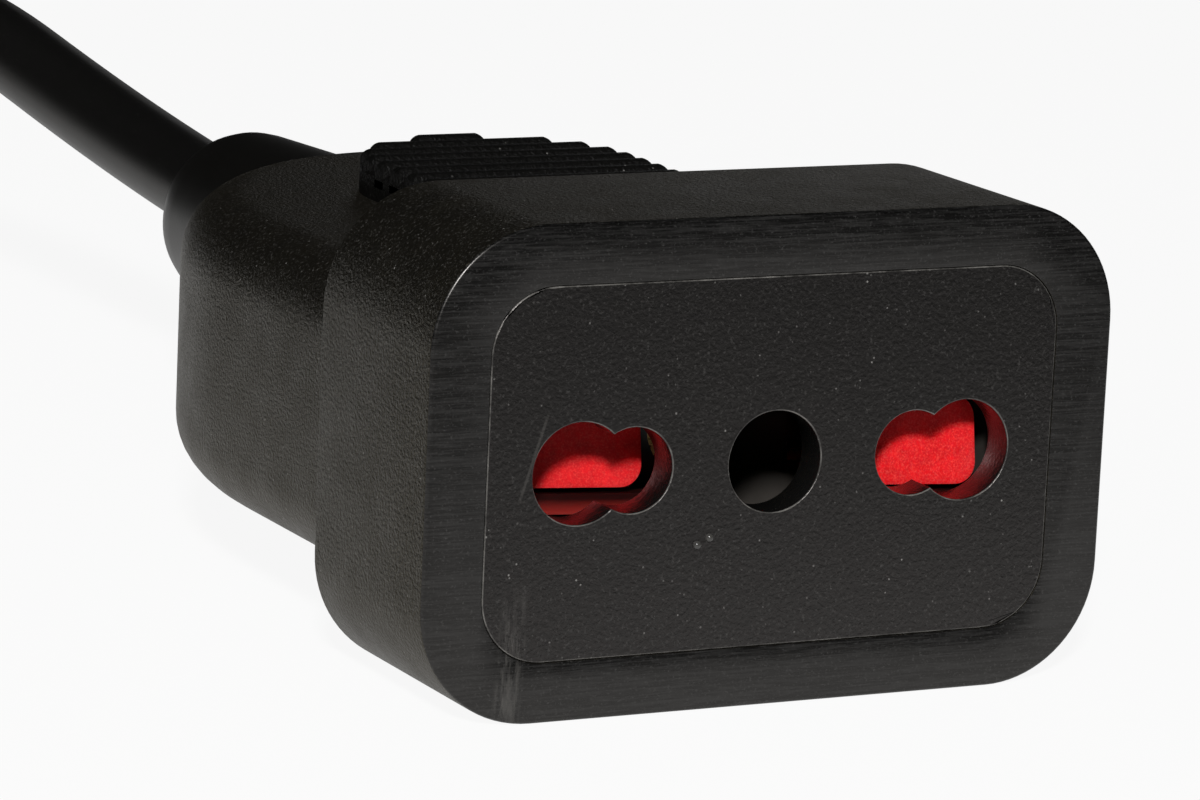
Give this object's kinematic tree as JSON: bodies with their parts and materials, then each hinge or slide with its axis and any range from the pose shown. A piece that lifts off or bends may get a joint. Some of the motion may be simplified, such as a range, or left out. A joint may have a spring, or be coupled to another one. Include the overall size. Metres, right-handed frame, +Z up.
{
  "type": "power adapter cable",
  "caption": "Short mains adapter cable: a moulded in-line socket with a shuttered face and a ribbed thumb pad, joined by a round cord to a shrouded blade-pin plug.",
  "frame": {"origin": "centre of the socket's footprint at the level of the front block's flat bottom, cord and plug left out", "axes": "+Y from the socket face toward the cord, +Z up through the thumb pad, +X right as seen by someone facing the socket"},
  "size_m": [0.1139, 0.1465, 0.0303],
  "materials": {
    "overmould": "fine spark-eroded grain",
    "panel": "fine matte grain",
    "carrier": "smooth",
    "shutter_red": "satin",
    "spring_steel": "drawn",
    "contact_brass": "stamped",
    "core_brown": "smooth",
    "core_blue": "smooth",
    "core_green": "smooth, yellow stripe",
    "sheath": "smooth satin",
    "plug_mould": "fine grain",
    "plug_hard": "smooth",
    "pin_metal": "bright nickel"
  },
  "bodies": {
    "cable": {"socket_housing": "overmould", "face_panel": "panel", "contact_carrier": "carrier", "shutter_spring_left": "spring_steel", "shutter_spring_right": "spring_steel", "line_contact": "contact_brass", "neutral_contact": "contact_brass", "earth_contact": "contact_brass", "line_wire": "core_brown", "neutral_wire": "core_blue", "earth_wire": "core_green", "cord": "sheath", "plug_housing": "plug_mould", "plug_insert": "plug_hard", "plug_line_pin": "pin_metal", "plug_neutral_pin": "pin_metal", "plug_earth_pin": "pin_metal", "plug_line_wire": "core_brown", "plug_neutral_wire": "core_blue", "plug_earth_wire": "core_green"},
    "shutter": {"shutter": "shutter_red"}
  },
  "joints": [
    {"name": "shutter_slide", "type": "slide", "parent": "cable", "child": "shutter", "axis": [0, 0, -1], "range_m": [0, 0.0058], "stiffness_N_per_m": 40, "springref_m": -0.003, "deforming": ["shutter_spring_left", "shutter_spring_right"]}
  ]
}
